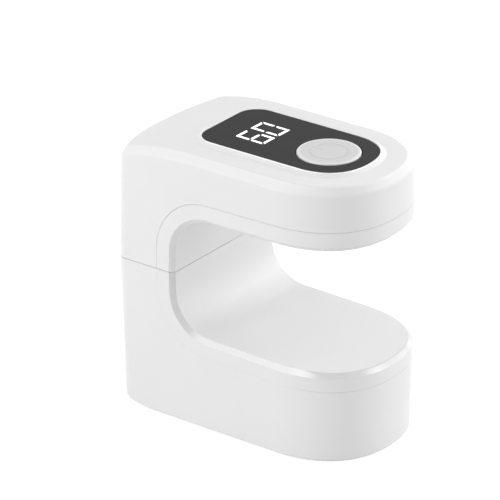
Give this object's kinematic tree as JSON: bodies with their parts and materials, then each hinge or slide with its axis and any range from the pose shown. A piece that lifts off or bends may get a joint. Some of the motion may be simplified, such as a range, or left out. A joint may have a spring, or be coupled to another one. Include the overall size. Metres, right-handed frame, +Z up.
{
  "type": "uv led nail lamp",
  "caption": "Cordless C-shaped UV LED nail lamp: a finger rests on the base under a lamp arm with a smoked timer window and a round push button.",
  "frame": {"origin": "on the surface the feet stand on, under the middle of the lamp's length and width", "axes": "+Z up, -Y towards the round front end, +X to the right as seen from the front"},
  "size_m": [0.0562, 0.0984, 0.0988],
  "materials": {
    "white_abs": "satin moulded",
    "smoked_acrylic": "smoked, polished edge",
    "button_abs": "satin",
    "black_nylon": "moulded",
    "board": "solder mask",
    "lamp_board": "white solder mask",
    "led": "clear silicone lens",
    "cell_wrap": "shrink wrap",
    "steel": "plated",
    "cable": "flat cable",
    "rubber": "matte"
  },
  "bodies": {
    "housing": {"upper_housing": "white_abs", "lamp_cover": "white_abs", "lower_housing": "white_abs", "base_cover": "white_abs", "display_window": "smoked_acrylic", "switch_body": "black_nylon", "digit_display": "black_nylon", "control_board": "board", "charge_board": "board", "lamp_board": "lamp_board", "uv_led_1": "led", "uv_led_2": "led", "uv_led_3": "led", "uv_led_4": "led", "uv_led_5": "led", "uv_led_6": "led", "battery_cell": "cell_wrap", "charge_socket": "steel", "cell_lead": "steel", "base_screw_1": "steel", "base_screw_2": "steel", "base_screw_3": "steel", "base_screw_4": "steel", "cover_screw_1": "steel", "cover_screw_2": "steel", "control_screw_1": "steel", "control_screw_2": "steel", "control_screw_3": "steel", "control_screw_4": "steel", "lamp_screw_1": "steel", "lamp_screw_2": "steel", "ribbon_cable": "cable", "lamp_cable": "cable", "foot_1": "rubber", "foot_2": "rubber", "foot_3": "rubber", "foot_4": "rubber"},
    "button": {"power_button": "button_abs"},
    "plunger": {"switch_plunger": "black_nylon"}
  },
  "joints": [
    {"name": "button_press", "type": "slide", "parent": "housing", "child": "button", "axis": [0, 0, -1], "range_m": [0, 0.0005], "stiffness_N_per_m": 2400},
    {"name": "plunger_press", "type": "slide", "parent": "housing", "child": "plunger", "axis": [0, 0, -1], "range_m": [0, 0.0005]}
  ],
  "couplings": [
    {"joint": "plunger_press", "follows": "button_press", "ratio": 1}
  ]
}
